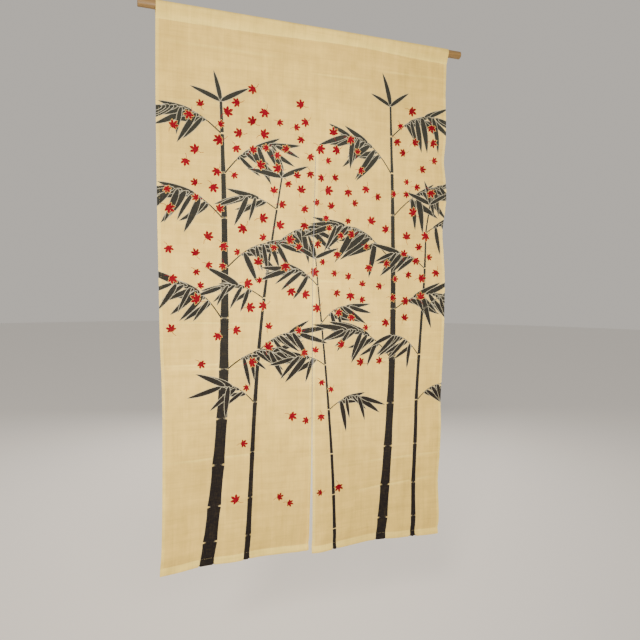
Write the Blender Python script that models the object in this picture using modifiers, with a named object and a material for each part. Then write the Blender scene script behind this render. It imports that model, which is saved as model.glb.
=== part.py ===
"""A door curtain of two cloth panels, hung on a plain round pole.

The pole's axis is the X axis and its middle is the origin. +Z is up, and the curtain is
seen from -Y. Each panel is one sheet: it comes up behind the pole, over it, down the
front, and turns up at the back again along its hem.
"""

import math
from collections import namedtuple

import bpy

MM = 0.001

# The pole
POLE_DIAMETER = 22 * MM
POLE_LENGTH = 940 * MM
POLE_SIDES = 32

# The cloth as it hangs. A drop is a distance below the curtain's top edge.
CURTAIN_WIDTH = 850 * MM
CURTAIN_DROP = 1500 * MM
CLOTH_THICKNESS = 1 * MM
LAYER_GAP = 0.5 * MM
POLE_CLEARANCE = 0.5 * MM
SLEEVE_DROP = 45 * MM
SLEEVE_TURN = 8 * MM
HEM_DEPTH = 20 * MM
PANEL_WIDTH = CURTAIN_WIDTH / 2

# The panels are sewn together down to the slit's top, and part slowly below it.
SLIT_TOP = 335 * MM
SEAM_GAP = 0.4 * MM
SLIT_GAP = 2 * MM

# How finely the sheets are divided
COLUMNS = 20
SHEET_ROWS = 42
SLEEVE_STEPS = 14
TURN_STEPS = 4

POLE_RADIUS = POLE_DIAMETER / 2
LAYER_STEP = CLOTH_THICKNESS + LAYER_GAP
SLEEVE_RADIUS = POLE_RADIUS + POLE_CLEARANCE + CLOTH_THICKNESS / 2
TOP = SLEEVE_RADIUS + CLOTH_THICKNESS / 2

# Folds along each panel's hem, in mm from that panel's left edge: how far the cloth stands
# behind the pole's axis (+) or in front of it (-), and how far up the fold can be followed.
HemFold = namedtuple("HemFold", "across depth reach")
HEM_FOLDS = {
    "left": [
        HemFold(0, -16, 330),
        HemFold(30, -12, 330),
        HemFold(62, -6, 380),
        HemFold(95, 3, 450),
        HemFold(140, 7, 600),
        HemFold(205, 3, 700),
        HemFold(265, 12, 650),
        HemFold(300, 12, 600),
        HemFold(345, 9, 500),
        HemFold(425, 5, 350),
    ],
    "right": [
        HemFold(0, -18, 350),
        HemFold(30, -19, 380),
        HemFold(75, -11, 450),
        HemFold(120, -4, 500),
        HemFold(160, 3, 600),
        HemFold(200, 8, 650),
        HemFold(250, 4, 650),
        HemFold(285, -1, 550),
        HemFold(320, -1, 500),
        HemFold(365, -4, 450),
        HemFold(425, -14, 400),
    ],
}

# The right-hand edge ripples all the way down. Drop and depth in mm, as above.
EdgeRipple = namedtuple("EdgeRipple", "drop depth")
RIGHT_EDGE = [
    EdgeRipple(45, 0),
    EdgeRipple(140, 1),
    EdgeRipple(215, -5),
    EdgeRipple(270, -6),
    EdgeRipple(335, 2),
    EdgeRipple(385, -8),
    EdgeRipple(440, -17),
    EdgeRipple(495, -10),
    EdgeRipple(550, 1),
    EdgeRipple(615, -8),
    EdgeRipple(700, -19),
    EdgeRipple(800, -21),
    EdgeRipple(900, -19),
    EdgeRipple(1000, -14),
    EdgeRipple(1080, -11),
    EdgeRipple(1150, -16),
    EdgeRipple(1240, -13),
    EdgeRipple(1330, -6),
    EdgeRipple(1430, -16),
    EdgeRipple(1500, -14),
]
RIPPLE_WIDTH = 95 * MM

# The left-hand edge is drawn in below the middle and flares at its corner. The slit, too,
# wanders a little from the middle. Both in mm: drop, and shift towards +X.
EdgeShift = namedtuple("EdgeShift", "drop shift")
LEFT_EDGE = [
    EdgeShift(0, -1),
    EdgeShift(220, -2.5),
    EdgeShift(500, -1),
    EdgeShift(700, 1.5),
    EdgeShift(880, 4),
    EdgeShift(960, 7),
    EdgeShift(1060, 8.5),
    EdgeShift(1200, 8),
    EdgeShift(1330, 6),
    EdgeShift(1430, 3),
    EdgeShift(1500, -2),
]
SLIT_LINE = [
    EdgeShift(0, 7),
    EdgeShift(335, 8),
    EdgeShift(700, 3),
    EdgeShift(1000, 4),
    EdgeShift(1230, 5),
    EdgeShift(1500, 1),
]

# Broad shallow swells in the hanging cloth, in mm: where each is, how wide and high it
# reaches, and its depth.
Swell = namedtuple("Swell", "across drop width height depth")
SWELLS = [
    Swell(-300, 620, 90, 300, -5),
    Swell(-150, 880, 70, 330, 5),
    Swell(-60, 560, 60, 260, -4),
    Swell(110, 640, 80, 300, 5),
    Swell(250, 900, 70, 260, -4),
    Swell(300, 330, 80, 160, 3),
]

CLOTH_COLOUR = (0.654, 0.514, 0.319, 1)
POLE_COLOUR = (0.515, 0.328, 0.122, 1)


def clear_scene():
    """Remove everything that the new file starts with."""
    for thing in list(bpy.data.objects):
        bpy.data.objects.remove(thing, do_unlink=True)


def make_collection(name):
    """A collection for the curtain's pieces."""
    collection = bpy.data.collections.new(name)
    bpy.context.scene.collection.children.link(collection)
    return collection


def make_material(name, colour, roughness):
    """A plain, non-metallic surface."""
    material = bpy.data.materials.new(name)
    material.use_nodes = True
    shader = material.node_tree.nodes["Principled BSDF"]
    shader.inputs["Base Color"].default_value = colour
    shader.inputs["Roughness"].default_value = roughness
    shader.inputs["Metallic"].default_value = 0
    return material


def finish(piece, name, material, collection):
    """Name a new piece, give it its material and move it to the curtain's collection."""
    piece.name = name
    piece.data.name = name
    piece.data.materials.append(material)
    for old_home in list(piece.users_collection):
        old_home.objects.unlink(piece)
    collection.objects.link(piece)
    return piece


def smooth(rows, field, at):
    """Read a field of a table at a place between its rows, on a smooth curve through them."""
    places = [row[0] for row in rows]
    values = [getattr(row, field) for row in rows]
    at = min(max(at, places[0]), places[-1])
    after = next(i for i in range(1, len(rows)) if at <= places[i])
    before = after - 1
    span = places[after] - places[before]
    t = (at - places[before]) / span

    def slope(i):
        low = max(i - 1, 0)
        high = min(i + 1, len(rows) - 1)
        return (values[high] - values[low]) / (places[high] - places[low])

    return (
        (2 * t**3 - 3 * t**2 + 1) * values[before]
        + (t**3 - 2 * t**2 + t) * span * slope(before)
        + (3 * t**2 - 2 * t**3) * values[after]
        + (t**3 - t**2) * span * slope(after)
    )


def fade(t):
    """Fall gently from 1 at t = 0 to 0 at t = 1, and stay there."""
    t = min(max(t, 0), 1)
    return 1 - t * t * (3 - 2 * t)


def panel_sides(side, drop):
    """The X of a panel's left and right edges at a drop."""
    slit = smooth(SLIT_LINE, "shift", drop / MM) * MM
    parting = 1 - fade((drop - SLIT_TOP) / (CURTAIN_DROP - SLIT_TOP))
    gap = SEAM_GAP + (SLIT_GAP - SEAM_GAP) * parting
    if side == "left":
        outer = -PANEL_WIDTH + smooth(LEFT_EDGE, "shift", drop / MM) * MM
        return outer, slit - gap / 2
    return slit + gap / 2, PANEL_WIDTH


def swell_depth(x, drop):
    """The depth of the broad swells at a place on the curtain."""
    total = 0
    for swell in SWELLS:
        across = (x / MM - swell.across) / swell.width
        along = (drop / MM - swell.drop) / swell.height
        total += swell.depth * math.exp(-across * across - along * along)
    return total * MM


def cloth_depth(side, part_across, x, drop):
    """How far behind the pole's axis the hanging cloth stands, below the sleeve's stitches."""
    across = part_across * PANEL_WIDTH / MM
    rise = (CURTAIN_DROP - drop) / MM
    rows = HEM_FOLDS[side]
    fold = smooth(rows, "depth", across) * MM * fade(rise / smooth(rows, "reach", across))
    depth = fold + swell_depth(x, drop)
    if side == "right":
        from_edge = (1 - part_across) * PANEL_WIDTH / RIPPLE_WIDTH
        hold = math.exp(-from_edge * from_edge)
        depth += hold * (smooth(RIGHT_EDGE, "depth", drop / MM) * MM - depth)
    settle = 1 - fade((drop - SLEEVE_DROP) / (2 * SLEEVE_DROP))
    return depth * settle


def arc(centre, radius, start, sweep, steps):
    """Points (y, z) along an arc. Angles are in radians from +Y towards +Z."""
    points = []
    for i in range(steps + 1):
        angle = start + sweep * i / steps
        points.append((centre[0] + radius * math.cos(angle), centre[1] + radius * math.sin(angle)))
    return points


def sheet_section():
    """The middle line (y, z) of a sheet without its folds, from its free end behind the pole."""
    stitches = TOP - SLEEVE_DROP
    lean = math.asin(SLEEVE_RADIUS / -stitches)
    behind = [(LAYER_STEP, stitches - SLEEVE_TURN), (LAYER_STEP, stitches)]
    over = arc((0, 0), SLEEVE_RADIUS, -lean, math.pi + 2 * lean, SLEEVE_STEPS)

    turn_radius = LAYER_STEP / 2
    turn_height = TOP - CURTAIN_DROP + CLOTH_THICKNESS / 2 + turn_radius
    row = (turn_height - stitches) / SHEET_ROWS
    front = [(0, stitches + row * i) for i in range(SHEET_ROWS)]
    turn = arc((turn_radius, turn_height), turn_radius, math.pi, math.pi, TURN_STEPS)
    hem = [(LAYER_STEP, TOP - CURTAIN_DROP + HEM_DEPTH)]
    return behind + over + front + turn + hem


def make_panel(side, material, collection):
    """One cloth panel: a grid laid along the sheet's section, with its folds, made thick."""
    section = sheet_section()
    bpy.ops.mesh.primitive_grid_add(x_subdivisions=COLUMNS, y_subdivisions=len(section) - 1, size=1)
    panel = bpy.context.object
    for vertex in panel.data.vertices:
        part_across = vertex.co.x + 0.5
        row = round((vertex.co.y + 0.5) * (len(section) - 1))
        y, z = section[row]
        drop = TOP - z
        left, right = panel_sides(side, drop)
        x = left + (right - left) * part_across
        vertex.co = (x, y + cloth_depth(side, part_across, x, drop), z)

    solidify = panel.modifiers.new("Cloth thickness", "SOLIDIFY")
    solidify.thickness = CLOTH_THICKNESS
    solidify.offset = 0
    solidify.use_even_offset = True
    panel.data.shade_smooth()
    return finish(panel, "panel_" + side, material, collection)


def make_pole(material, collection):
    """The plain round pole, with flat ends."""
    bpy.ops.mesh.primitive_cylinder_add(
        vertices=POLE_SIDES,
        radius=POLE_RADIUS,
        depth=POLE_LENGTH,
        rotation=(0, math.pi / 2, 0),
    )
    pole = bpy.context.object
    pole.data.shade_smooth()
    pole.data.set_sharp_from_angle(angle=math.radians(30))
    return finish(pole, "pole", material, collection)


def main():
    clear_scene()
    collection = make_collection("Door curtain on a pole")
    cloth = make_material("Ecru cloth", CLOTH_COLOUR, 0.9)
    wood = make_material("Pale wood", POLE_COLOUR, 0.5)
    for side in ("left", "right"):
        make_panel(side, cloth, collection)
    make_pole(wood, collection)


main()
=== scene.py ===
"""A door curtain of two printed ramie panels, dressed on its pole.

Lengths on the cloth are in millimetres, as a maker would mark them, and MM turns them to
metres. A place on a panel is given by its distance across, from the panel's left edge, and
along, from the cloth's free end behind the pole, over the pole and down to the hem.
"""

import math
import random
from collections import namedtuple

import bpy
import numpy as np
from mathutils import Matrix, Vector
from mathutils.geometry import delaunay_2d_cdt


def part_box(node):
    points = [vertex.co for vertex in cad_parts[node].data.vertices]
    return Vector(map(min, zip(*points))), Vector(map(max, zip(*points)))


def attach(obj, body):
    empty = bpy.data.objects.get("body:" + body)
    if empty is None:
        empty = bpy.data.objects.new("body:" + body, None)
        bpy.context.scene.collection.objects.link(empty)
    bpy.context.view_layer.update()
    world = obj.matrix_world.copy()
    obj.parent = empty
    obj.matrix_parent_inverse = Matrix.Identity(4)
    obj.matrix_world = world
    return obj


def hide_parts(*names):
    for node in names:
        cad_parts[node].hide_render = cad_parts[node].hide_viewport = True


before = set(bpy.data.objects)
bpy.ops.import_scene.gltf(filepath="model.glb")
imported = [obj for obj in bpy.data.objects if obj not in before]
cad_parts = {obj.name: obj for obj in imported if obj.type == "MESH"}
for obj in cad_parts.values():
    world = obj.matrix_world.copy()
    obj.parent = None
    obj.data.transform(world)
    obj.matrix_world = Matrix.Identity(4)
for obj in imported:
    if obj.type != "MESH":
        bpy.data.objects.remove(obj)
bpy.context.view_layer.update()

bl_info = {
    "name": "Printed door curtain",
    "version": (1, 0, 0),
    "blender": (4, 5, 0),
    "location": "3D View > Sidebar > Curtain",
    "description": "Models a printed two-panel door curtain on a wooden pole",
    "category": "Object",
}

MM = 0.001
SIDES = ("left", "right")


def linear(code):
    """Turn an sRGB hex colour into the linear values that Blender's shaders take."""
    parts = [int(code[i : i + 2], 16) / 255 for i in (1, 3, 5)]
    return tuple(c / 12.92 if c <= 0.04045 else ((c + 0.055) / 1.055) ** 2.4 for c in parts)


def table(fields, *rows):
    """Rows of values with named fields."""
    row_type = namedtuple("Row", fields)
    return [row_type(*row) for row in rows]


# The frame's own sizes, in mm

PANEL_LOW, PANEL_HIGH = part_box("panel_left")
POLE_LOW, POLE_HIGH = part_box("pole")
TOP = round(PANEL_HIGH.z / MM, 2)
CURTAIN_DROP = round((PANEL_HIGH.z - PANEL_LOW.z) / MM)
PANEL_WIDTH = round(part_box("panel_right")[1].x / MM)
POLE_RADIUS = round((POLE_HIGH.z - POLE_LOW.z) / MM, 1) / 2
POLE_LENGTH = round((POLE_HIGH.x - POLE_LOW.x) / MM)

# How the cloth hangs, in mm. A drop is a distance below the top.

SLEEVE_DROP = 45
SLEEVE_TURN = 8
HEM_DEPTH = 20
HEM_LINE = CURTAIN_DROP - HEM_DEPTH
RIPPLE_WIDTH = 95
LAYER_GAP = 0.3
HEM_STITCH_INSET = 1.2
SIDE_STITCH_INSET = 1.5
SIDE_STITCH_STRETCH = 1.3
SIDE_HEM = 8
SIDE_HEM_GAP = 0.4
SIDE_HEM_SHARE = 0.5
SIDE_HEM_ROWS = 180

# The panels meet down to the slit's top. Below it they part by SLIT_OPEN within SLIT_EASE,
# and by SLIT_GAP at the hem.
SLIT_TOP = 335
SLIT_EASE = 30
SLIT_OPEN = 1.5
SLIT_GAP = 2.3

# The sleeve's stitches don't run quite level. x is from the curtain's middle.
SLEEVE_LINE = table(
    "x drop",
    (-425, 45), (-150, 42), (60, 37), (160, 37), (260, 41), (360, 44), (425, 45.5),
)

# How pale the hem looks along its stitches
HEM_TONES = table("x pale", (-425, 0.85), (-150, 1), (60, 0.9), (230, 0.7), (425, 0.65))

# Folds along each panel's hem, from that panel's left edge: how far the cloth stands behind
# the pole's axis (+) or in front of it (-), and how far up the fold can be followed
HEM_FOLDS = {
    "left": table(
        "across depth reach",
        (0, -16, 330), (30, -12, 330), (62, -6, 380), (95, 3, 450), (140, 7, 600),
        (205, 3, 700), (265, 12, 650), (300, 12, 600), (345, 9, 500), (425, 5, 350),
    ),
    "right": table(
        "across depth reach",
        (0, -18, 350), (30, -19, 380), (75, -11, 450), (120, -4, 500), (160, 3, 600),
        (200, 8, 650), (250, 4, 650), (285, -1, 550), (320, -1, 500), (365, -4, 450),
        (425, -14, 400),
    ),
}

# The right-hand edge ripples all the way down, within RIPPLE_WIDTH of it.
RIGHT_EDGE = table(
    "drop depth",
    (45, 0), (140, 1), (215, -5), (270, -6), (335, 2), (385, -8), (440, -17), (495, -10),
    (550, 1), (615, -8), (700, -19), (800, -21), (900, -19), (1000, -14), (1080, -11),
    (1150, -16), (1240, -13), (1330, -6), (1430, -16), (1500, -14),
)

# The left-hand edge is drawn in below the middle, and the slit wanders from the middle.
LEFT_EDGE = table(
    "drop shift",
    (0, -1), (220, -2.5), (500, -1), (700, 1.5), (880, 4), (960, 7), (1060, 8.5), (1200, 8),
    (1330, 6), (1430, 3), (1500, -2),
)
SLIT_LINE = table("drop shift", (0, 7), (335, 8), (700, 3), (1000, 4), (1230, 5), (1500, 1))

# Broad shallow swells in the hanging cloth
SWELLS = table(
    "across drop width height depth",
    (-300, 620, 90, 300, -5),
    (-150, 880, 70, 330, 5),
    (-60, 560, 60, 260, -4),
    (110, 640, 80, 300, 5),
    (250, 900, 70, 260, -4),
    (300, 330, 80, 160, 3),
)

# Marks left by folding the curtain away, which are level or nearly so, and soft folds that
# stand on the hem. x is from the curtain's middle, turn is in degrees from level, and depth
# is to the back.
CREASES = table(
    "x drop turn reach width depth",
    (-280, 823, -1.5, 165, 4.5, 1.8),
    (-230, 936, 0, 260, 4.5, 1.9),
    (-300, 947, -2, 130, 4.0, 1.5),
    (-265, 1196, 1.5, 180, 5, 1.8),
    (-80, 1188, -2, 90, 8, -1.4),
    (-295, 742, -5, 140, 5, 1.1),
    (36, 706, -3, 60, 5, 1.2),
    (75, 126, 1, 100, 5, 1.5),
    (300, 92, 1, 140, 5, 1.2),
    (-250, 96, 0, 200, 6, 0.9),
    (-290, 240, 1, 140, 6, 0.8),
    (-300, 560, -1, 130, 5, 0.9),
    (230, 826, -0.5, 170, 5, 1.0),
    (280, 938, 1, 150, 4.5, 1.3),
    (300, 1243, 3, 160, 5, 1.5),
    (280, 1325, 5, 175, 5, 1.7),
    (-148, 1250, 90, 230, 11, 4.5),
    (-186, 1260, 90, 230, 12, -3.6),
    (-76, 1390, 91, 130, 9, 3.2),
    (-38, 1390, 90, 150, 13, -3.0),
    (150, 1290, 92, 200, 16, 2.6),
    (262, 1330, 88, 170, 14, -2.2),
    (-352, 1330, 93, 170, 14, 2.2),
    (-330, 1120, 89, 180, 20, -2.4),
)
LEVEL_ENOUGH = 45
CREASE_CORE = 0.6
CREASE_FULL = 0.35

# Sewing draws the cloth into puckers beside its stitches, and the hem's stitches sink in.
PUCKER_PITCH = 19
PUCKER_DEPTH = 0.3
PUCKER_REACH = 14
EDGE_PUCKER_REACH = 12
HEM_DIP = 3.6
HEM_DIP_REACH = 14

# The cloth's edges at the slit roll to the back a little.
SLIT_ROLL = {"left": 2.6, "right": 1.2}
SLIT_ROLL_REACH = 3.5

# Where the cloth looks paler: along the fold marks, as a painted highlight, and where it lies
# double, which fades down the hem and up the sleeve
CREASE_HIGHLIGHT_SHARE = 0.4
HEM_FADE = 0.5
SLEEVE_FADE = 0.6
SLEEVE_FADE_REACH = 22

# The print: bamboo that stands on the hem, and small maple leaves that drift across it. x
# and drop are in mm on the whole curtain, and side 1 is to the right.

CULMS = table(
    "foot_x foot_width head_x head_drop head_width bow joints first_twig side reach",
    (-300, 42, -262, 232, 7, 26, 10, 4, 1, 175),
    (-186, 18, -96, 420, 4, -22, 8, 3, -1, 125),
    (74, 12, 6, 640, 3, 10, 7, 3, 1, 105),
    (232, 33, 236, 190, 6, 22, 10, 4, -1, 185),
    (338, 16, 372, 470, 4, -12, 8, 3, 1, 110),
)
DRIFTS = table(
    "x drop across along leaves",
    (-345, 360, 45, 90, 13),
    (-190, 300, 60, 60, 14),
    (-60, 330, 70, 60, 18),
    (-330, 640, 60, 80, 11),
    (-120, 600, 80, 80, 18),
    (60, 470, 80, 80, 21),
    (120, 740, 80, 90, 17),
    (335, 300, 50, 70, 13),
    (345, 640, 50, 90, 14),
    (-200, 860, 100, 90, 11),
    (30, 1000, 110, 90, 9),
    (-90, 1240, 150, 70, 6),
)
PRINT_MARGIN = 12
PRINT_SIDE = PANEL_WIDTH - 20
PRINT_TOP = 165
PRINT_FOOT = 1420
JOINT_GAP = 6
JOINT_LINE = 2
RINGED_WIDTH = 12
TWIG_TIP = 1.4
HALO = 1.1
DYE_CREEP = 1.3
CULM_CREEP = 0.9
BAMBOO_SEED = 7
MAPLE_SEED = 23
LEAF_SIZES = (66, 108)
MAPLE_SIZES = (27, 42)

# The maple leaf's lobes: each one's angle in degrees and its share of the leaf's reach
MAPLE_LOBES = [(-138, 0.42), (-93, 0.74), (-47, 0.92), (0, 1), (47, 0.92), (93, 0.74), (138, 0.42)]

# The viewing place that the photograph gives, in metres and degrees
CAMERA_PLACE = (-0.5322, -1.556, -0.7031)
CAMERA_YAW = 19.72
CAMERA_PITCH = -3.55
CAMERA_ROLL = 0.58
SENSOR = 36
LENS = 32.27
FLOOR_HEIGHT = -1.95
FLOOR_RADIUS = 18
SKY_COLOUR = "#fbf4ea"
SKY_STRENGTH = 0.57
LIGHT_COLOUR = (1, 0.9, 0.78)
LAMPS = table(
    "name place aim size power spread",
    ("Key", (-3.0, -4.6, 2.4), (0, 0, -0.75), 1.0, 185, 180),
    ("Near", (-0.3, -1.62, -0.66), (-0.1, 0, -0.68), 0.6, 15.2, 98),
    ("Back", (0.8, 3.0, 0.5), (0, 0, -0.75), 2.2, 80, 180),
)


def size_setting(name, description, millimetres):
    """A size that a user would change."""
    return bpy.props.FloatProperty(
        name=name,
        description=description,
        default=millimetres * MM,
        unit="LENGTH",
        precision=4,
    )


def colour_setting(name, description, code):
    """A colour that a user would change."""
    return bpy.props.FloatVectorProperty(
        name=name, description=description, default=linear(code), subtype="COLOR"
    )


class CurtainSizes(bpy.types.PropertyGroup):
    """Sizes that a user would change."""

    cloth: size_setting("Cloth", "Thickness of the cloth", 0.7)
    column: size_setting("Column", "Width of the panels' mesh squares", 8)
    weave: size_setting("Thread spacing", "From one thread to the next", 1.2)
    stitch: size_setting("Stitch", "Length of a running stitch", 2.6)
    stitch_pitch: size_setting("Stitch pitch", "From one stitch to the next", 5.2)
    thread: size_setting("Thread", "Thickness of the sewing thread", 0.5)
    pole_edge: size_setting("Pole edge", "Rounding of the pole's ends", 1.2)


class CurtainColours(bpy.types.PropertyGroup):
    """Colours that a user would change."""

    ecru: colour_setting("Ecru", "One layer of the cloth", "#d4b660")
    doubled: colour_setting("Doubled", "Cloth with a second layer behind it", "#ebd372")
    charcoal: colour_setting("Charcoal", "The dark dye at the hem", "#1b1819")
    slate: colour_setting("Slate", "The dark dye, thinner, at the top", "#2a2c29")
    creep: colour_setting("Creep", "Thin dye at a dark motif's edge", "#97937f")
    red: colour_setting("Red", "The red dye", "#700016")
    thread: colour_setting("Thread", "The sewing thread", "#d3c186")
    # The pole's colour is darker than the wood itself: part of it is painted shade from the
    # curtain's shadow on the pole.
    wood: colour_setting("Wood", "The pole", "#8f7040")
    floor: colour_setting("Floor", "The studio floor", "#efedea")


# Small tools


def deselect_all():
    """Leave nothing selected, so that an operator acts on the new piece alone."""
    bpy.ops.object.select_all(action="DESELECT")


def make_active(piece):
    """Select one piece alone."""
    deselect_all()
    piece.select_set(True)
    bpy.context.view_layer.objects.active = piece


def hand_over(piece, material, slot, *nodes):
    """Give a finished piece its finish and its body, and hide the frame's nodes that it stands for.
    """
    piece.data.materials.clear()
    piece.data.materials.append(material)
    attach(piece, "root")
    if nodes:
        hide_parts(*nodes)


def new_mesh_piece(name, points, faces):
    """A mesh object from points in metres and faces."""
    mesh = bpy.data.meshes.new(name)
    mesh.from_pydata(points, [], faces)
    mesh.update()
    piece = bpy.data.objects.new(name, mesh)
    bpy.context.scene.collection.objects.link(piece)
    return piece


def thicken(piece, thickness):
    """Turn an open sheet into a closed one, half its thickness to each side."""
    make_active(piece)
    solidify = piece.modifiers.new("Cloth thickness", "SOLIDIFY")
    solidify.thickness = thickness
    solidify.offset = 0
    bpy.ops.object.modifier_apply(modifier=solidify.name)
    bpy.ops.object.shade_smooth_by_angle(angle=math.radians(50))


# How the cloth hangs


def read(rows, field, at):
    """A table's field at places along its first column, on a smooth curve through its rows."""
    places = np.array([row[0] for row in rows], float)
    values = np.array([getattr(row, field) for row in rows], float)
    low = np.maximum(np.arange(len(rows)) - 1, 0)
    high = np.minimum(np.arange(len(rows)) + 1, len(rows) - 1)
    slopes = (values[high] - values[low]) / (places[high] - places[low])
    at = np.clip(at, places[0], places[-1])
    k = np.clip(np.searchsorted(places, at, side="right") - 1, 0, len(rows) - 2)
    span = places[k + 1] - places[k]
    t = (at - places[k]) / span
    return (
        (2 * t**3 - 3 * t**2 + 1) * values[k]
        + (t**3 - 2 * t**2 + t) * span * slopes[k]
        + (3 * t**2 - 2 * t**3) * values[k + 1]
        + (t**3 - t**2) * span * slopes[k + 1]
    )


def fade(t):
    """Fall gently from 1 at t = 0 to 0 at t = 1, and stay there."""
    t = np.clip(t, 0, 1)
    return 1 - t * t * (3 - 2 * t)


def bell(distance, width):
    """A soft bump, 1 in the middle."""
    return np.exp(-((distance / width) ** 2))


def panel_sides(side, drop):
    """The X of a panel's left and right edges at each drop."""
    slit = read(SLIT_LINE, "shift", drop)
    parting = 1 - fade((drop - SLIT_TOP) / (CURTAIN_DROP - SLIT_TOP))
    gap = SLIT_OPEN * slit_opening(drop) + (SLIT_GAP - SLIT_OPEN) * parting
    if side == "left":
        return -PANEL_WIDTH + read(LEFT_EDGE, "shift", drop), slit - gap / 2
    return slit + gap / 2, PANEL_WIDTH + 0 * drop


def main_folds(side, across, x, drop):
    """The depth of the folds that the frame's solids have too."""
    rows = HEM_FOLDS[side]
    rise = CURTAIN_DROP - drop
    depth = read(rows, "depth", across) * fade(rise / read(rows, "reach", across))
    for swell in SWELLS:
        near = bell(x - swell.across, swell.width) * bell(drop - swell.drop, swell.height)
        depth = depth + swell.depth * near
    if side == "right":
        hold = bell(PANEL_WIDTH - across, RIPPLE_WIDTH)
        depth = depth + hold * (read(RIGHT_EDGE, "depth", drop) - depth)
    return depth * (1 - fade((drop - SLEEVE_DROP) / (2 * SLEEVE_DROP)))


def at_crease(crease, x, drop, widen=1):
    """How near a crease's middle line each place is: 1 on it, 0 well away from it."""
    turn = math.radians(crease.turn)
    along = (x - crease.x) * math.cos(turn) - (drop - crease.drop) * math.sin(turn)
    off = (x - crease.x) * math.sin(turn) + (drop - crease.drop) * math.cos(turn)
    past_full = (abs(along) / crease.reach - CREASE_FULL) / (1 - CREASE_FULL)
    return bell(off, crease.width * widen) * fade(past_full)


def is_level(crease):
    """Whether a crease is a fold mark that runs across the cloth."""
    return abs(crease.turn) < LEVEL_ENOUGH


def slit_opening(drop):
    """How far the slit has opened: 0 down to its top, 1 once it is past its ease."""
    return 1 - fade((drop - SLIT_TOP) / SLIT_EASE)


def pucker_wave(place, pitch, drift, swell, phase):
    """An uneven wave along a row of stitches, which comes and goes."""
    return np.sin(2 * math.pi * place / pitch + drift) * np.sin(place / swell + phase)


def fine_relief(side, across, x, drop):
    """Fold marks, the rolled edges at the slit, and the puckers that sewing draws into cloth."""
    depth = 0 * x
    for crease in CREASES:
        depth = depth + crease.depth * at_crease(crease, x, drop)
    hem_line = bell(drop - HEM_LINE, PUCKER_REACH)
    sleeve_line = bell(drop - SLEEVE_DROP - 4, PUCKER_REACH) * (drop > SLEEVE_DROP)
    wave = pucker_wave(x, PUCKER_PITCH, 2 * np.sin(x / 41), 67, 1)
    depth = depth + PUCKER_DEPTH * wave * (hem_line + sleeve_line)
    depth = depth + HEM_DIP * bell(drop - HEM_LINE, HEM_DIP_REACH)
    at_edge = bell(np.minimum(across, PANEL_WIDTH - across), EDGE_PUCKER_REACH)
    down = pucker_wave(drop, 1.7 * PUCKER_PITCH, np.sin(drop / 53), 90, 0)
    depth = depth + PUCKER_DEPTH * 1.3 * down * at_edge * (drop > 2 * SLEEVE_DROP)
    from_slit = PANEL_WIDTH - across if side == "left" else across
    return depth + SLIT_ROLL[side] * bell(from_slit, SLIT_ROLL_REACH) * slit_opening(drop)


def arc(centre, radius, start, sweep, steps):
    """Points (y, z) along an arc. Angles are in radians from +Y towards +Z."""
    angles = start + sweep * np.arange(steps + 1) / steps
    return [(centre[0] + radius * math.cos(a), centre[1] + radius * math.sin(a)) for a in angles]


class Section:
    """A sheet's middle line without its folds, and the named lengths along it."""

    OVER_STEPS = 48
    TURN_STEPS = 24

    def __init__(self, thickness):
        self.step = thickness + LAYER_GAP
        radius = TOP - thickness / 2
        stitches = TOP - SLEEVE_DROP
        lean = math.asin(radius / -stitches)
        behind = [(self.step, stitches - SLEEVE_TURN), (self.step, stitches)]
        over = arc((0, 0), radius, -lean, math.pi + 2 * lean, self.OVER_STEPS)
        turn_radius = self.step / 2
        turn_height = TOP - CURTAIN_DROP + thickness / 2 + turn_radius
        turn = arc((turn_radius, turn_height), turn_radius, math.pi, math.pi, self.TURN_STEPS)
        hem = [(self.step, TOP - CURTAIN_DROP + HEM_DEPTH)]
        points = np.array(behind + over + [(0, stitches)] + turn + hem)
        self.y, self.z = points.T
        self.length = np.concatenate([[0], np.cumsum(np.hypot(*np.diff(points, axis=0).T))])
        over_end = len(behind) + self.OVER_STEPS
        self.back_stitches = self.length[1]
        self.over = self.length[2]
        self.over_end = self.length[over_end]
        self.front_stitches = self.length[over_end + 1]
        self.turn = self.length[over_end + 2]
        self.turn_end = self.length[over_end + 2 + self.TURN_STEPS]
        self.end = self.length[-1]
        self.hem_line = self.from_drop(HEM_LINE)

    def from_drop(self, drop):
        """The length along the front of the cloth at a drop, which may pass the hem's edge."""
        return self.front_stitches + drop - SLEEVE_DROP

    def rows(self, spacing):
        """Lengths for the rows of a mesh, close together where the cloth bends tightly."""
        sleeve_low, sleeve_high = self.front_stitches - 11, self.front_stitches + 1
        hem_low, hem_high = self.hem_line - 0.5, self.hem_line + 0.5
        stretches = [
            (0, self.back_stitches, 3),
            (self.back_stitches, self.over, 6),
            (self.over, self.over_end, 22),
            (self.over_end, sleeve_low, 5),
            (sleeve_low, sleeve_high, 12),
            (hem_low, hem_high, 1),
            (hem_high, self.turn, 4),
            (self.turn, self.turn_end, 6),
            (self.turn_end, self.end, 4),
        ]
        lengths = [low + (high - low) * np.arange(n) / n for low, high, n in stretches]
        return np.concatenate(lengths + [self.front_rows(spacing), [self.end]])

    def front_rows(self, spacing):
        """Lengths for the rows of the front, four times as close at the level fold marks."""
        level = [self.from_drop(crease.drop) for crease in CREASES if is_level(crease)]
        rows = [self.front_stitches + 1]
        while rows[-1] < self.hem_line - 0.5:
            near = min(abs(rows[-1] - place) for place in level) < 2 * spacing
            rows.append(rows[-1] + (spacing / 4 if near else spacing))
        return np.array(rows[:-1])


def hang(section, side, across, along, behind=0):
    """Where places on a panel come to hang, in metres. behind sets them back, in mm."""
    across = np.asarray(across, float)
    y = np.interp(along, section.length, section.y)
    z = np.interp(along, section.length, section.z)
    drop = TOP - z
    left, right = panel_sides(side, drop)
    x = left + (right - left) * across / PANEL_WIDTH
    y = y + behind + main_folds(side, across, x, drop) + fine_relief(side, across, x, drop)
    return np.stack([x, y, z], -1) * MM


# The print's outlines. Each is a list of (x, drop), in mm.


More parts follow.
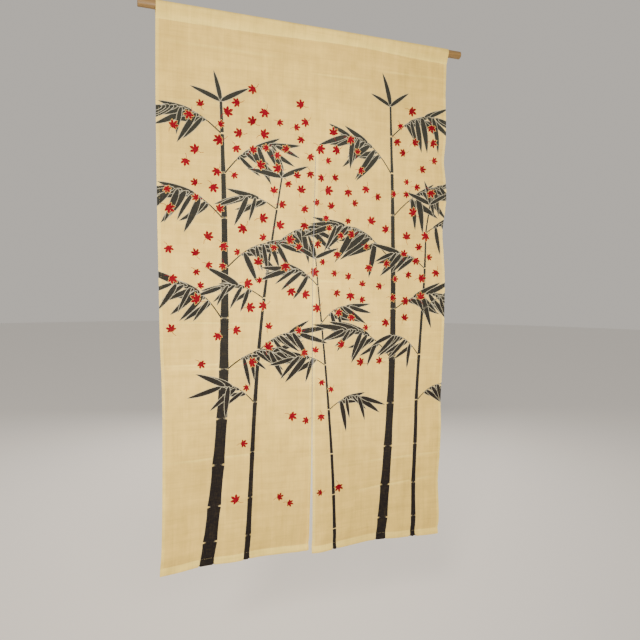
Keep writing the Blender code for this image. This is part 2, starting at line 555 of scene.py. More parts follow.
def culm_centre(culm, t):
    """A point on a culm's middle line, from t = 0 at its foot to 1 at its head."""
    foot = CURTAIN_DROP + PRINT_MARGIN
    x = culm.foot_x + (culm.head_x - culm.foot_x) * t + culm.bow * math.sin(math.pi * t)
    return x, foot + (culm.head_drop - foot) * t


def culm_width(culm, t):
    """A culm's width at t."""
    return culm.foot_width + (culm.head_width - culm.foot_width) * t


def joint_places(culm):
    """Where a culm's joints come. Its lengths between them are short at the foot and head."""
    lengths = [math.sin(0.6 + 1.9 * i / culm.joints) for i in range(culm.joints + 1)]
    return [sum(lengths[:i]) / sum(lengths) for i in range(1, culm.joints + 1)]


def rounded_end(a, b, bulge):
    """Three points of a shallow curve from a to b."""
    points = []
    for s in (0.25, 0.5, 0.75):
        rise = bulge * math.sin(math.pi * s)
        points.append((a[0] + (b[0] - a[0]) * s, a[1] + (b[1] - a[1]) * s + rise))
    return points


def internode(culm, start, end, halo=0, steps=8):
    """The length of culm between two joints, a little waisted, with rounded ends."""
    left, right = [], []
    for i in range(steps + 1):
        s = i / steps
        t = start + (end - start) * s
        x, drop = culm_centre(culm, t)
        half = culm_width(culm, t) / 2 * (0.93 + 0.1 * abs(2 * s - 1) ** 3) + halo
        left.append((x - half, drop))
        right.append((x + half, drop))
    bulge = culm_width(culm, start) * 0.07 + halo
    top = rounded_end(left[-1], right[-1], -bulge)
    bottom = rounded_end(right[0], left[0], bulge)
    return left + top + right[::-1] + bottom


def joint_line(x, drop, width):
    """The thin raised ring at a joint, as a sliver whose tips turn up a little."""
    half = width / 2
    thick = JOINT_LINE / 2
    tip = drop - 0.6
    upper = [(x - half, tip), (x - half / 2, drop - thick), (x + half / 2, drop - thick)]
    lower = [(x + half, tip), (x + half / 2, drop + thick), (x - half / 2, drop + thick)]
    return upper + lower


def blade(base, aim, length, width, bend, halo=0, steps=9):
    """A bamboo leaf: round at its base, pointed, and bent to one side."""
    ux, uy = math.cos(aim), -math.sin(aim)
    nx, ny = -uy, ux
    left, right = [], []
    for i in range(steps + 1):
        s = (i / steps) ** 1.4
        along = s * (length + 2 * halo) - halo
        off = bend * length * s * s
        half = width / 2 * s**0.5 * (1 - s) ** 0.9 / 0.4
        if 0 < i < steps:
            half += halo
        cx, cy = base[0] + ux * along + nx * off, base[1] + uy * along + ny * off
        left.append((cx + nx * half, cy + ny * half))
        right.append((cx - nx * half, cy - ny * half))
    return left + right[-2:0:-1]


def stroke(points, start_width, end_width):
    """A line drawn with a brush that narrows."""
    left, right = [], []
    last = len(points) - 1
    for i, (x, y) in enumerate(points):
        before, after = points[max(i - 1, 0)], points[min(i + 1, last)]
        dx, dy = after[0] - before[0], after[1] - before[1]
        half = (start_width + (end_width - start_width) * i / last) / 2 / math.hypot(dx, dy)
        left.append((x - dy * half, y + dx * half))
        right.append((x + dy * half, y - dx * half))
    return left + right[::-1]


def twig_line(start, side, length, rise, droop=0.95, steps=8):
    """A twig's line, which rises from its joint and bends over."""
    points = [start]
    for i in range(1, steps + 1):
        heading = rise - droop * (i / steps) ** 2
        x, drop = points[-1]
        run = length / steps
        points.append((x + side * run * math.cos(heading), drop - run * math.sin(heading)))
    return points


def along_line(points, s):
    """The point a share s along a line of points."""
    place = s * (len(points) - 1)
    i = min(int(place), len(points) - 2)
    a, b = points[i], points[i + 1]
    return a[0] + (b[0] - a[0]) * (place - i), a[1] + (b[1] - a[1]) * (place - i)


def leaf_shapes(base, aim, length, width, bend):
    """A leaf, and the thin dye round it that keeps it apart from what it lies over."""
    return [
        ("thin", blade(base, aim, length, width, bend, DYE_CREEP)),
        ("charcoal", blade(base, aim, length, width, bend)),
    ]


def twig_shapes(rng, start, side, length, rise, width):
    """A twig with its leaves, some reaching out and some hanging."""
    line = twig_line(start, side, length, rise)
    shapes = [
        ("thin", stroke(line, width + CULM_CREEP, TWIG_TIP + CULM_CREEP)),
        ("charcoal", stroke(line, width, TWIG_TIP)),
    ]
    leaves = max(4, round(length / 13))
    for k in range(leaves):
        if k == leaves - 1:
            spread = -20
        elif k % 2:
            spread = rng.uniform(-82, -30)
        else:
            spread = rng.uniform(-38, 34)
        aim = math.radians(spread if side > 0 else 180 - spread)
        size = rng.uniform(*LEAF_SIZES) * (0.8 + 0.2 * length / 150)
        leaf_width = size * rng.uniform(0.13, 0.165)
        bend = rng.uniform(-0.1, 0.1)
        base = along_line(line, 0.3 + 0.7 * k / (leaves - 1))
        shapes += leaf_shapes(base, aim, size, leaf_width, bend)
    return shapes


def culm_shapes(culm):
    """A culm's lengths, and the rings at its joints where it is stout enough."""
    places = joint_places(culm)
    tall = CURTAIN_DROP + PRINT_MARGIN - culm.head_drop
    gap = JOINT_GAP * (0.5 + 0.5 * culm.foot_width / CULMS[0].foot_width) / tall / 2
    starts = [0] + [place + gap for place in places]
    ends = [place - gap for place in places] + [1]
    shapes = []
    for start, end in zip(starts, ends):
        shapes.append(("thin", internode(culm, start, end, CULM_CREEP)))
        shapes.append(("charcoal", internode(culm, start, end)))
    for place in places:
        width = culm_width(culm, place)
        if width > RINGED_WIDTH:
            shapes.append(("charcoal", joint_line(*culm_centre(culm, place), width * 1.14)))
    return shapes


def foliage_shapes(rng, culm):
    """A culm's twigs, to its two sides by turns, and the leaves at its tip."""
    shapes = []
    side = culm.side
    places = joint_places(culm)
    for k, place in enumerate(places[culm.first_twig :]):
        x, drop = culm_centre(culm, place)
        share = k / (len(places) - culm.first_twig)
        fullness = 0.62 + 0.5 * math.sin(math.pi * (0.25 + 0.6 * share))
        length = culm.reach * fullness * rng.uniform(0.8, 1.1)
        rise = math.radians(rng.uniform(34, 58))
        start = (x + side * culm_width(culm, place) * 0.4, drop)
        shapes += twig_shapes(rng, start, side, length, rise, 2.4 + culm.foot_width * 0.03)
        side = -side
    for turn in (158, 96, 34):
        size = rng.uniform(70, 98)
        aim = math.radians(turn + rng.uniform(-10, 10))
        bend = rng.uniform(0.06, 0.14) * (-1 if turn > 90 else 1)
        shapes += leaf_shapes(culm_centre(culm, 1), aim, size, size * 0.14, bend)
    return shapes


def maple_outline(x, drop, turn, size, halo=0):
    """A small maple leaf of seven pointed lobes."""
    reaches = []
    for i, (angle, reach) in enumerate(MAPLE_LOBES):
        reaches += [(angle - 16, reach * 0.74), (angle, reach), (angle + 16, reach * 0.74)]
        if i + 1 < len(MAPLE_LOBES):
            reaches.append(((angle + MAPLE_LOBES[i + 1][0]) / 2, 0.44))
    outline = []
    for angle, reach in reaches:
        a = turn + math.radians(angle)
        r = reach * size / 2 + halo
        outline.append((x + r * math.cos(a), drop - r * math.sin(a)))
    return outline


def maple_shapes(x, drop, turn, size):
    """A maple leaf with its stalk and the bare line round it."""
    back = turn + math.pi
    stalk = [(x, drop)]
    for reach, swing in ((0.32, 0), (0.55, 0.25)):
        across, up = math.cos(back + swing), math.sin(back + swing)
        stalk.append((x + size * reach * across, drop - size * reach * up))
    return [
        ("bare", maple_outline(x, drop, turn, size, HALO)),
        ("red", maple_outline(x, drop, turn, size)),
        ("red", stroke(stalk, 1.6, 1)),
    ]


def drifting_maples():
    """Maple leaves scattered in loose drifts, none over another."""
    rng = random.Random(MAPLE_SEED)
    placed, shapes = [], []
    for drift in DRIFTS:
        left = drift.leaves
        while left:
            x = rng.gauss(drift.x, drift.across)
            drop = rng.gauss(drift.drop, drift.along)
            size = rng.uniform(*MAPLE_SIZES)
            inside = abs(x) < PRINT_SIDE and PRINT_TOP < drop < PRINT_FOOT
            apart = all(math.hypot(x - px, drop - py) > (size + ps) * 0.52 for px, py, ps in placed)
            if inside and apart:
                placed.append((x, drop, size))
                shapes += maple_shapes(x, drop, rng.uniform(0, 2 * math.pi), size)
                left -= 1
    return shapes


def print_shapes():
    """The whole print in the order in which it was laid on: what comes later covers."""
    rng = random.Random(BAMBOO_SEED)
    shapes = []
    for culm in CULMS:
        shapes += culm_shapes(culm)
    for culm in CULMS:
        shapes += foliage_shapes(rng, culm)
    return shapes + drifting_maples()


# The panels


def clip(outline, axis, limit, keep_above):
    """Cut an outline along a straight line across one axis, keeping one side."""
    kept = []
    for a, b in zip(outline, outline[1:] + outline[:1]):
        a_in = (a[axis] >= limit) == keep_above
        b_in = (b[axis] >= limit) == keep_above
        if a_in:
            kept.append(a)
        if a_in != b_in:
            s = (limit - a[axis]) / (b[axis] - a[axis])
            kept.append((a[0] + (b[0] - a[0]) * s, a[1] + (b[1] - a[1]) * s))
    return kept


def signed_area(outline):
    """Twice an outline's area, above 0 where it runs anticlockwise."""
    return sum(a[0] * b[1] - b[0] * a[1] for a, b in zip(outline, outline[1:] + outline[:1]))


def outlines_on_panel(section, side, shapes):
    """The print's outlines on one panel's flat cloth: (kind, [(across, along), ...])."""
    shift = PANEL_WIDTH if side == "left" else 0
    limits = [
        (0, 0, True),
        (0, PANEL_WIDTH, False),
        (1, section.front_stitches, True),
        (1, section.end, False),
    ]
    found = []
    for kind, outline in shapes:
        flat = [(x + shift, section.from_drop(drop)) for x, drop in outline]
        for axis, limit, keep_above in limits:
            if flat:
                flat = clip(flat, axis, limit, keep_above)
        if len(flat) > 2:
            found.append((kind, flat if signed_area(flat) > 0 else flat[::-1]))
    return found


def grid_columns(spacing):
    """Distances across a panel for its mesh's columns, with one each side of a side hem's line."""
    low, high = SIDE_HEM + 0.5, PANEL_WIDTH - SIDE_HEM - 0.5
    inner = np.linspace(low, high, round(PANEL_WIDTH / spacing))
    edge = np.array([0, 1, 2.2, SIDE_HEM / 2, SIDE_HEM - 0.5])
    return np.concatenate([edge, inner, PANEL_WIDTH - edge[::-1]])


def flat_slivers(triangles, across, along, length):
    """Which triangles have all their corners on one edge of the cloth, and so no area."""
    lost = np.zeros(len(triangles), bool)
    for places, limit in ((across, 0), (across, PANEL_WIDTH), (along, 0), (along, length)):
        lost |= (abs(places[triangles] - limit) < 0.01).all(axis=1)
    return lost


def pale_share(section, side, across, along):
    """How pale the cloth is: 1 where it lies double, less at the sides, and a painted highlight
    along fold marks.
    """
    x = across - PANEL_WIDTH if side == "left" else across
    into_hem = (along - section.hem_line) / HEM_DEPTH
    hem = (into_hem > 0) * (1 - HEM_FADE * np.clip(into_hem, 0, 1)) * read(HEM_TONES, "pale", x)
    above_stitches = section.from_drop(read(SLEEVE_LINE, "drop", x)) - along
    sleeve_faded = SLEEVE_FADE * np.clip(above_stitches / SLEEVE_FADE_REACH, 0, 1)
    sleeve = (above_stitches > 0) * (1 - sleeve_faded)
    outer = abs(x) > PANEL_WIDTH - SIDE_HEM
    inner = (abs(x) < SIDE_HEM) & (along > section.from_drop(SLIT_TOP))
    pale = np.maximum(np.maximum(hem, sleeve), SIDE_HEM_SHARE * (outer | inner))
    drop = along - section.from_drop(0)
    # Painted highlight: level fold marks that stand to the back are made paler along their middle.
    for crease in CREASES:
        if is_level(crease) and crease.depth > 0:
            painted_highlight = crease.depth * at_crease(crease, x, drop, CREASE_CORE)
            pale = np.maximum(pale, CREASE_HIGHLIGHT_SHARE * painted_highlight)
    return np.minimum(pale, 1)


def paint_dye(mesh, kinds, tones):
    """Mark each face's dye on its corners: charcoal in red, red in green, its tone in blue.

    Thin dye has both red and green.
    """
    dye = mesh.color_attributes.new("dye", "BYTE_COLOR", "CORNER")
    values = np.zeros((len(mesh.loops), 4), np.float32)
    values[:, 3] = 1
    for polygon, kind, tone in zip(mesh.polygons, kinds, tones):
        corners = slice(polygon.loop_start, polygon.loop_start + polygon.loop_total)
        values[corners, 0] = kind in ("charcoal", "thin")
        values[corners, 1] = kind in ("red", "thin")
        values[corners, 2] = tone
    dye.data.foreach_set("color", values.ravel())


def map_cloth(mesh, section, side, across, along):
    """The cloth's own map, in metres on the whole flat cloth, and where it is pale."""
    corner = np.zeros(len(mesh.loops), np.int32)
    mesh.loops.foreach_get("vertex_index", corner)
    shift = PANEL_WIDTH if side == "right" else 0
    flat = np.stack([across[corner] + shift, along[corner]], -1) * MM
    mesh.uv_layers.new(name="cloth").data.foreach_set("uv", flat.astype(np.float32).ravel())
    pale = mesh.attributes.new("pale", "FLOAT", "POINT")
    pale.data.foreach_set("value", pale_share(section, side, across, along).astype(np.float32))


def make_panel(section, side, shapes, spacing, thickness, material):
    """One printed panel: its flat cloth is cut along the print's outlines, then hung."""
    columns, rows = grid_columns(spacing), section.rows(spacing)
    points = [Vector((a, s)) for s in rows for a in columns]
    kinds, faces = [], []
    for kind, outline in outlines_on_panel(section, side, shapes):
        faces.append(list(range(len(points), len(points) + len(outline))))
        points += [Vector(point) for point in outline]
        kinds.append(kind)

    flat, _, triangles, _, _, sources = delaunay_2d_cdt(points, [], faces, 0, 1e-4)
    across = np.array([p.x for p in flat])
    along = np.array([p.y for p in flat])
    kept = ~flat_slivers(np.array(triangles), across, along, section.end)
    triangles = [t for t, keep in zip(triangles, kept) if keep]
    tops = [max(source) if source else None for source, keep in zip(sources, kept) if keep]
    rng = random.Random(len(side))
    tone_of = [rng.random() for _ in kinds]

    name = "cloth_" + side
    panel = new_mesh_piece(name, hang(section, side, across, along), [t[::-1] for t in triangles])
    paint_dye(
        panel.data,
        ["bare" if top is None else kinds[top] for top in tops],
        [0.5 if top is None else tone_of[top] for top in tops],
    )
    map_cloth(panel.data, section, side, across, along)
    thicken(panel, thickness * MM)
    hand_over(panel, material, "cloth", "panel_" + side)
    return panel


def make_side_hems(section, side, thickness, material):
    """The two long edges of a panel, turned to the back."""
    low = section.front_stitches + SLEEVE_TURN + SIDE_HEM_GAP
    along = np.linspace(low, section.hem_line - SIDE_HEM_GAP, SIDE_HEM_ROWS)
    hem = np.array([0.3, 2.2, SIDE_HEM / 2, SIDE_HEM])
    columns = len(hem)
    points, faces, flat = [], [], []
    for across in (hem, PANEL_WIDTH - hem[::-1]):
        base = len(points)
        a, s = (grid.ravel() for grid in np.meshgrid(across, along))
        flat.append((a, s))
        points += list(hang(section, side, a, s, behind=section.step))
        for row in range(len(along) - 1):
            for column in range(columns - 1):
                first = base + row * columns + column
                faces.append([first, first + 1, first + columns + 1, first + columns])
    hems = new_mesh_piece("side_hems_" + side, points, faces)
    map_cloth(hems.data, section, side, *np.concatenate(flat, axis=1))
    thicken(hems, thickness * MM)
    hand_over(hems, material, "cloth")


# Sewing


def stitch_rows(section, side, stitch_pitch):
    """Rows of running stitches on a panel: (across, along, step across, step along)."""
    across = np.arange(stitch_pitch, PANEL_WIDTH - 1, stitch_pitch)
    x = across - PANEL_WIDTH if side == "left" else across
    rows = [
        (across, section.from_drop(read(SLEEVE_LINE, "drop", x)), 1, 0),
        (across, np.full(len(across), section.hem_line + HEM_STITCH_INSET), 1, 0),
    ]
    inset = SIDE_HEM - SIDE_STITCH_INSET
    outer_start, inner_start = section.front_stitches + stitch_pitch, section.from_drop(SLIT_TOP)
    for place, start in ((inset, outer_start), (PANEL_WIDTH - inset, inner_start)):
        along = np.arange(start, section.hem_line, stitch_pitch * SIDE_STITCH_STRETCH)
        place = place if side == "left" else PANEL_WIDTH - place
        rows.append((np.full(len(along), place), along, 0, 1))
    return rows


def stitch_body(start, end, outward, thickness):
    """One stitch: a short six-sided thread that dips into the cloth at both ends."""
    run = (end - start) / np.linalg.norm(end - start)
    sideways = np.cross(run, outward)
    dip, lift = outward * thickness * 0.3, outward * thickness * 0.25
    points = [start - dip]
    for share in (0.22, 0.78):
        centre = start + (end - start) * share + lift
        for k in range(6):
            angle = math.pi * k / 3
            spoke = outward * math.sin(angle) + sideways * math.cos(angle)
            points.append(centre + spoke * thickness / 2)
    points.append(end - dip)
    return points


def stitch_faces():
    """The faces of one stitch."""
    faces = []
    for k in range(6):
        n = (k + 1) % 6
        faces += [[0, 1 + n, 1 + k], [1 + k, 1 + n, 7 + n, 7 + k], [7 + k, 7 + n, 13]]
    return faces


def make_stitches(section, side, sizes, material):
    """A panel's running stitches, on its face and, between them, on its back."""
    cloth = sizes.cloth / MM
    half = sizes.stitch / MM / 2
    pitch = sizes.stitch_pitch / MM
    points, faces = [], []
    pattern = stitch_faces()
    for across, along, right, down in stitch_rows(section, side, pitch):
        for facing in (-1, 1):
            shift = 0 if facing < 0 else pitch / 2
            a, s = across + shift * right, along + shift * down
            starts = hang(section, side, a - half * right, s - half * down)
            ends = hang(section, side, a + half * right, s + half * down)
            middles = hang(section, side, a, s)
            beside = hang(section, side, a + half * down, s + half * right) - middles
            for start, end, aside in zip(starts, ends, beside):
                outward = np.cross(end - start, aside)
                outward = outward / np.linalg.norm(outward)
                if outward[1] * facing < 0:
                    outward = -outward
                layers = 0.5 if facing < 0 else 1.5
                lift = outward * (cloth * layers + (LAYER_GAP if facing > 0 else 0)) * MM
                base = len(points)
                points += stitch_body(start + lift, end + lift, outward, sizes.thread)
                faces += [[base + i for i in face] for face in pattern]
    stitches = new_mesh_piece("stitches_" + side, points, faces)
    make_active(stitches)
    bpy.ops.object.mode_set(mode="EDIT")
    bpy.ops.mesh.select_all(action="SELECT")
    bpy.ops.mesh.normals_make_consistent(inside=False)
    bpy.ops.object.mode_set(mode="OBJECT")
    bpy.ops.object.shade_smooth()
    hand_over(stitches, material, "cloth")


# The pole


def make_pole(edge, material):
    """The round wooden pole, with the edges of its ends taken off."""
    deselect_all()
    bpy.ops.mesh.primitive_cylinder_add(
        vertices=96,
        radius=POLE_RADIUS * MM,
        depth=POLE_LENGTH * MM,
        rotation=(0, math.pi / 2, 0),
    )
    pole = bpy.context.object
    pole.name = "wooden_pole"
    bpy.ops.object.transform_apply(location=False, rotation=True, scale=False)
    bevel = pole.modifiers.new("Worn edge", "BEVEL")
    bevel.width = edge
    bevel.segments = 4
    bevel.limit_method = "ANGLE"
    bevel.angle_limit = math.radians(60)
    bpy.ops.object.modifier_apply(modifier=bevel.name)
    bpy.ops.object.shade_smooth_by_angle(angle=math.radians(40))
    hand_over(pole, material, "pole", "pole")


# Materials

MATH = "ShaderNodeMath"
PLUS = {"operation": "ADD"}
TIMES = {"operation": "MULTIPLY"}
TIMES_PLUS = {"operation": "MULTIPLY_ADD"}
NOISE = "ShaderNodeTexNoise"
MIX = "ShaderNodeMix"
BLEND = {"data_type": "RGBA"}
FILTER = {"data_type": "RGBA", "blend_type": "MULTIPLY"}

# Streaks in the cloth, each a sum of two noises that are drawn out along the threads of one
# direction and of the other: their sizes in mm, (across, along), and their detail
STREAKS = {
    "bands": ((16, 240), (200, 18), 3.0),
    "slubs": ((2.6, 60), (50, 2.4), 2.0),
    "fine": ((1.3, 22), (20, 1.3), 1.0),
    "patches": ((190, 260), (38, 45), 2.0),
}
STREAK_STRENGTHS = {"bands": 0.18, "slubs": 0.06, "fine": 0.05, "patches": 0.15}
THICK_YARNS = ((5, 130), (160, 5))
THICK_YARN_SHARES = {"From Min": 0.56, "From Max": 0.68, "To Min": 1.0, "To Max": 0.95}


def add(tree, kind, settings=None, **links):
    """Add a node with its settings, and link sockets or values to its named inputs."""
    node = tree.nodes.new(kind)
    for name, value in (settings or {}).items():
        setattr(node, name, value)
    for name, value in links.items():
        key = int(name[1:]) if name[0] == "i" and name[1:].isdigit() else name.replace("_", " ")
        if isinstance(value, bpy.types.NodeSocket):
            tree.links.new(value, node.inputs[key])
        else:
            node.inputs[key].default_value = value
    return node


def start_material(name, roughness):
    """A new material, its tree and its shader."""
    material = bpy.data.materials.new(name)
    material.use_nodes = True
    tree = material.node_tree
    shader = tree.nodes["Principled BSDF"]
    shader.inputs["Roughness"].default_value = roughness
    return material, tree, shader


def stretched_noise(tree, place, sizes, **settings):
    """Noise whose grains have a size in mm along each axis."""
    scale = [1 / (size * MM) for size in sizes] + [1] * (3 - len(sizes))
    mapped = add(tree, "ShaderNodeMapping", None, Vector=place, Scale=scale).outputs[0]
    dimensions = {"noise_dimensions": f"{len(sizes)}D"}
    return add(tree, NOISE, dimensions, Vector=mapped, Scale=1.0, **settings).outputs["Fac"]


def roughen(tree, shader, height, millimetres, strength):
    """Stand a shader's surface up by a height, where the height is 1."""
    distance = millimetres * MM
    bump = add(tree, "ShaderNodeBump", None, Height=height, Distance=distance, Strength=strength)
    tree.links.new(bump.outputs[0], shader.inputs["Normal"])


def two_tones(tree, shader, share, colour, darker, low, high):
    """Colour a shader from a darker tone, where a share is low, to its own where it is high."""
    shade = add(tree, "ShaderNodeValToRGB", None, Fac=share)
    dark, full = shade.color_ramp.elements
    dark.position, full.position = low, high
    dark.color = opaque([c * darker for c in colour])
    full.color = opaque(colour)
    tree.links.new(shade.outputs[0], shader.inputs["Base Color"])


def opaque(colour):
    """A colour with its alpha."""
    return (*colour, 1)


def cloth_streaks(tree, place):
    """The cloth's streaks by name, and the tone that they give it together."""
    layers = {}
    for name, (warp, weft, detail) in STREAKS.items():
        noises = [
            stretched_noise(tree, place, grain, Detail=detail, Roughness=0.55)
            for grain in (warp, weft)
        ]
        layers[name] = add(tree, MATH, PLUS, i0=noises[0], i1=noises[1]).outputs[0]
    patchy = add(tree, MATH, TIMES_PLUS, i0=layers["patches"], i1=0.9, i2=0.5).outputs[0]
    layers["bands"] = add(tree, MATH, TIMES, i0=layers["bands"], i1=patchy).outputs[0]
    tone = 1.0
    for name, strength in STREAK_STRENGTHS.items():
        share = add(tree, MATH, TIMES_PLUS, i0=layers[name], i1=strength, i2=1 - strength)
        tone = add(tree, MATH, TIMES, i0=tone, i1=share.outputs[0]).outputs[0]
    for grain in THICK_YARNS:
        yarn = stretched_noise(tree, place, grain, Detail=1.0, Roughness=0.55)
        smooth = {"interpolation_type": "SMOOTHSTEP"}
        thick = add(tree, "ShaderNodeMapRange", smooth, Value=yarn)
        for name, value in THICK_YARN_SHARES.items():
            thick.inputs[name].default_value = value
        tone = add(tree, MATH, TIMES, i0=tone, i1=thick.outputs[0]).outputs[0]
    return layers, tone


def cloth_weave(tree, place, spacing):
    """The weave's height: a crown wherever warp and weft cross, over and under by turns."""
    crowns = []
    for coordinate in add(tree, "ShaderNodeSeparateXYZ", None, Vector=place).outputs[:2]:
        turns = add(tree, MATH, TIMES, i0=coordinate, i1=math.pi / spacing).outputs[0]
        crowns.append(add(tree, MATH, {"operation": "SINE"}, i0=turns).outputs[0])
    return add(tree, MATH, TIMES, i0=crowns[0], i1=crowns[1]).outputs[0]


def printed_ramie(colours, sizes):
    """The cloth: hand-woven ramie, stencil-dyed."""
    # Ramie in an open plain weave, undyed, then dyed through a stencil: matt, with thick and
    # thin threads that show as streaks both ways, dye that thins on the thread crowns and
    # creeps at its edges, and a yellower, closer look where two layers lie together.
    if "Printed ramie" in bpy.data.materials:
        return bpy.data.materials["Printed ramie"]
    material, tree, shader = start_material("Printed ramie", 0.88)
    shader.inputs["Sheen Weight"].default_value = 0.02
    shader.inputs["Sheen Roughness"].default_value = 0.6
    shader.inputs["Specular IOR Level"].default_value = 0.06

    place = add(tree, "ShaderNodeUVMap", {"uv_map": "cloth"}).outputs[0]
    dye = add(tree, "ShaderNodeVertexColor", {"layer_name": "dye"}).outputs[0]
    dark_dye, red_dye, dye_tone = add(tree, "ShaderNodeSeparateColor", None, Color=dye).outputs
    # pale lightens cloth that lies double, and also carries the painted highlight along the fold
    # marks.
    pale = add(tree, "ShaderNodeAttribute", {"attribute_name": "pale"}).outputs["Fac"]
    layers, tone = cloth_streaks(tree, place)
    cloth = add(tree, MIX, BLEND, i0=pale, i6=opaque(colours.ecru), i7=opaque(colours.doubled))

    # The dark dye is thinner towards the top of the print.
    along = add(tree, "ShaderNodeSeparateXYZ", None, Vector=place).outputs[1]
    height = add(tree, "ShaderNodeMapRange", None, Value=along, From_Min=0.35, From_Max=1.35)
    slate, charcoal = opaque(colours.slate), opaque(colours.charcoal)
    dark = add(tree, MIX, BLEND, i0=height.outputs[0], i6=slate, i7=charcoal)

    # Each motif takes a little more or less dye, and thick threads take it unevenly.
    uneven = add(tree, MATH, TIMES_PLUS, i0=dye_tone, i1=0.28, i2=0.86)
    red = add(tree, MIX, FILTER, i0=1.0, i6=opaque(colours.red), i7=uneven.outputs[0])
    hold = add(tree, MATH, TIMES_PLUS, i0=layers["fine"], i1=-0.08, i2=1.08)
    hold = add(tree, MATH, {"operation": "MINIMUM"}, i0=hold.outputs[0], i1=1.0)
    colour = cloth
    for dye, shade in ((dark_dye, dark), (red_dye, red)):
        share = add(tree, MATH, TIMES, i0=dye, i1=hold.outputs[0]).outputs[0]
        colour = add(tree, MIX, BLEND, i0=share, i6=colour.outputs[2], i7=shade.outputs[2])
    thin = add(tree, MATH, TIMES, i0=dark_dye, i1=red_dye).outputs[0]
    colour = add(tree, MIX, BLEND, i0=thin, i6=colour.outputs[2], i7=opaque(colours.creep))
    colour = add(tree, MIX, FILTER, i0=1.0, i6=colour.outputs[2], i7=tone)
    tree.links.new(colour.outputs[2], shader.inputs["Base Color"])

    # Real threads lie about 0.8 mm apart. They are drawn coarser, so that they show.
    relief = 0.0
    weave = cloth_weave(tree, place, sizes.weave)
    for height, share in ((weave, 0.35), (layers["slubs"], 0.9), (layers["fine"], 0.8)):
        relief = add(tree, MATH, TIMES_PLUS, i0=height, i1=share, i2=relief).outputs[0]
    roughen(tree, shader, relief, 0.22, 0.8)
    return material


def sewing_thread(colours, sizes):
    """The stitches' thread."""
    # Two-ply ramie thread, undyed: matt, a little darker in its twist and round loose fibres.
    material, tree, shader = start_material("Ramie sewing thread", 0.8)
    place = add(tree, "ShaderNodeTexCoord").outputs["Object"]
    scale = 1 / (2 * sizes.thread)
    fibres = add(tree, NOISE, None, Vector=place, Scale=scale, Detail=2.0).outputs["Fac"]
    two_tones(tree, shader, fibres, colours.thread, 0.8, 0, 1)
    roughen(tree, shader, fibres, 0.1, 0.6)
    return material


def pole_wood(colours):
    """The pole's wood."""
    # Turned cedar, oiled: fine straight grain along the pole, darker late wood in thin lines,
    # and a soft satin gloss where hands and cloth have rubbed it.
    material, tree, shader = start_material("Turned cedar", 0.45)
    place = add(tree, "ShaderNodeTexCoord").outputs["Object"]
    grain = stretched_noise(tree, place, (90, 3, 3), Detail=4.0, Distortion=0.4)
    # The wood colour holds the wood's own tone with painted shade mixed in.
    two_tones(tree, shader, grain, colours.wood, 0.62, 0.32, 0.62)
    pores = stretched_noise(tree, place, (14, 0.7, 0.7), Detail=3.0)
    roughen(tree, shader, pores, 0.15, 0.5)
    return material


def floor_paint(colours):
    """The studio floor."""
    # Matt emulsion, rolled on: pale and even.
    material, tree, shader = start_material("Floor paint", 0.9)
    shader.inputs["Base Color"].default_value = opaque(colours.floor)
    return material


# The stage


def place_camera():
    """The camera at the photograph's viewing place."""
    yaw, pitch, roll = (math.radians(a) for a in (CAMERA_YAW, CAMERA_PITCH, CAMERA_ROLL))
    level = Vector((math.cos(yaw), -math.sin(yaw), 0))
    forward = Vector((math.sin(yaw), math.cos(yaw), 0))
    ahead = forward * math.cos(pitch) + Vector((0, 0, math.sin(pitch)))
    upright = level.cross(ahead)
    right = math.cos(roll) * level + math.sin(roll) * upright
    up = math.cos(roll) * upright - math.sin(roll) * level
    data = bpy.data.cameras.new("Viewer")
    data.sensor_width = SENSOR
    data.lens = LENS
    data.clip_end = 50
    camera = bpy.data.objects.new("Viewer", data)
    bpy.context.scene.collection.objects.link(camera)
    turn = Matrix((right, up, -ahead)).transposed().to_4x4()
    camera.matrix_world = Matrix.Translation(CAMERA_PLACE) @ turn
    bpy.context.scene.camera = camera


def soft_light(lamp):
    """A large square lamp that faces a point and spreads its light over an angle in degrees."""
    data = bpy.data.lights.new(lamp.name, "AREA")
    data.shape = "SQUARE"
    data.size = lamp.size
    data.energy = lamp.power
    data.spread = math.radians(lamp.spread)
    data.color = LIGHT_COLOUR
    light = bpy.data.objects.new(lamp.name, data)
    bpy.context.scene.collection.objects.link(light)
    light.location = lamp.place
    aim = Vector(lamp.aim) - Vector(lamp.place)
    light.rotation_euler = aim.to_track_quat("-Z", "Y").to_euler()


def make_floor(material):
    """A wide plain floor."""
    deselect_all()
    bpy.ops.mesh.primitive_circle_add(
        vertices=96, radius=FLOOR_RADIUS, fill_type="NGON", location=(0, 0, FLOOR_HEIGHT)
    )
    floor = bpy.context.object
    floor.name = "floor"
    floor.data.materials.append(material)


def make_world():
    """Even pale light from all round."""
    world = bpy.data.worlds.new("Studio")
    world.use_nodes = True
    background = world.node_tree.nodes["Background"]
    background.inputs["Color"].default_value = opaque(linear(SKY_COLOUR))
    background.inputs["Strength"].default_value = SKY_STRENGTH
    bpy.context.scene.world = world


class CURTAIN_OT_stage(bpy.types.Operator):
    """Add the floor, the lights and the camera"""

    bl_idname = "curtain.stage"
    bl_label = "Stage"

    def execute(self, context):
        make_floor(floor_paint(context.scene.curtain_colours))
        make_world()
        for lamp in LAMPS:
            soft_light(lamp)
        place_camera()
        return {"FINISHED"}


class CURTAIN_OT_side_hems(bpy.types.Operator):
    """Turn the panels' side hems to the back"""

    bl_idname = "curtain.side_hems"
    bl_label = "Side hems"

    def execute(self, context):
        sizes = context.scene.curtain_sizes
        ramie = printed_ramie(context.scene.curtain_colours, sizes)
        section = Section(sizes.cloth / MM)
        for side in SIDES:
            make_side_hems(section, side, sizes.cloth / MM, ramie)
        return {"FINISHED"}


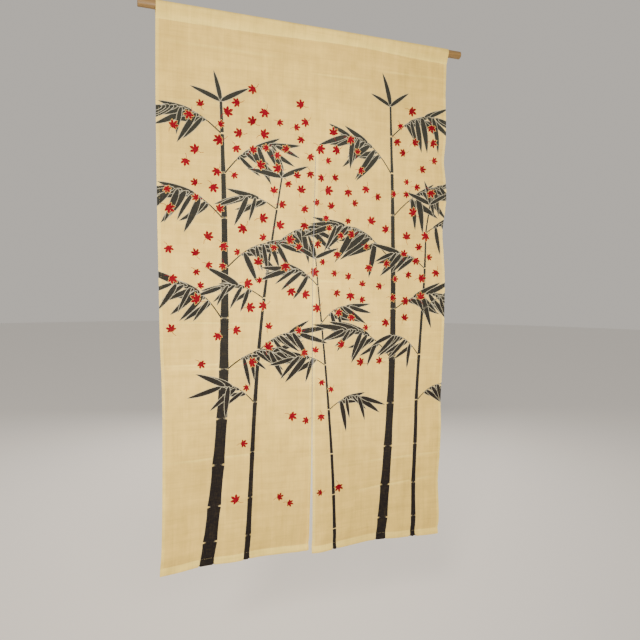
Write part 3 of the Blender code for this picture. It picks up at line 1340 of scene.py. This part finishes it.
class CURTAIN_OT_stitches(bpy.types.Operator):
    """Sew the sleeves and the hems"""

    bl_idname = "curtain.stitches"
    bl_label = "Stitches"

    def execute(self, context):
        sizes = context.scene.curtain_sizes
        thread = sewing_thread(context.scene.curtain_colours, sizes)
        section = Section(sizes.cloth / MM)
        for side in SIDES:
            make_stitches(section, side, sizes, thread)
        return {"FINISHED"}


class CURTAIN_OT_panels(bpy.types.Operator):
    """Weave, print and hang the two panels, with the sleeves and hems folded in their cloth"""

    bl_idname = "curtain.panels"
    bl_label = "Panels"

    def execute(self, context):
        sizes = context.scene.curtain_sizes
        ramie = printed_ramie(context.scene.curtain_colours, sizes)
        section = Section(sizes.cloth / MM)
        shapes = print_shapes()
        for side in SIDES:
            panel = make_panel(section, side, shapes, sizes.column / MM, sizes.cloth / MM, ramie)
        return {"FINISHED"}


class CURTAIN_OT_pole(bpy.types.Operator):
    """Turn the pole"""

    bl_idname = "curtain.pole"
    bl_label = "Pole"

    def execute(self, context):
        scene = context.scene
        make_pole(scene.curtain_sizes.pole_edge, pole_wood(scene.curtain_colours))
        return {"FINISHED"}


class CURTAIN_PT_sidebar(bpy.types.Panel):
    """The curtain's sizes, colours and steps"""

    bl_label = "Door curtain"
    bl_idname = "CURTAIN_PT_sidebar"
    bl_space_type = "VIEW_3D"
    bl_region_type = "UI"
    bl_category = "Curtain"

    def draw(self, context):
        for group in (context.scene.curtain_sizes, context.scene.curtain_colours):
            box = self.layout.box()
            for name in group.__annotations__:
                box.prop(group, name)
        for operator in OPERATORS:
            self.layout.operator(operator.bl_idname)


OPERATORS = (
    CURTAIN_OT_stage,
    CURTAIN_OT_pole,
    CURTAIN_OT_side_hems,
    CURTAIN_OT_stitches,
    CURTAIN_OT_panels,
)
CLASSES = (CurtainSizes, CurtainColours, *OPERATORS, CURTAIN_PT_sidebar)


def register():
    for each in CLASSES:
        bpy.utils.register_class(each)
    bpy.types.Scene.curtain_sizes = bpy.props.PointerProperty(type=CurtainSizes)
    bpy.types.Scene.curtain_colours = bpy.props.PointerProperty(type=CurtainColours)


def unregister():
    del bpy.types.Scene.curtain_sizes
    del bpy.types.Scene.curtain_colours
    for each in reversed(CLASSES):
        bpy.utils.unregister_class(each)


def main():
    register()
    bpy.ops.curtain.stage()
    bpy.ops.curtain.pole()
    bpy.ops.curtain.side_hems()
    bpy.ops.curtain.stitches()
    bpy.ops.curtain.panels()


if __name__ == "__main__":
    main()
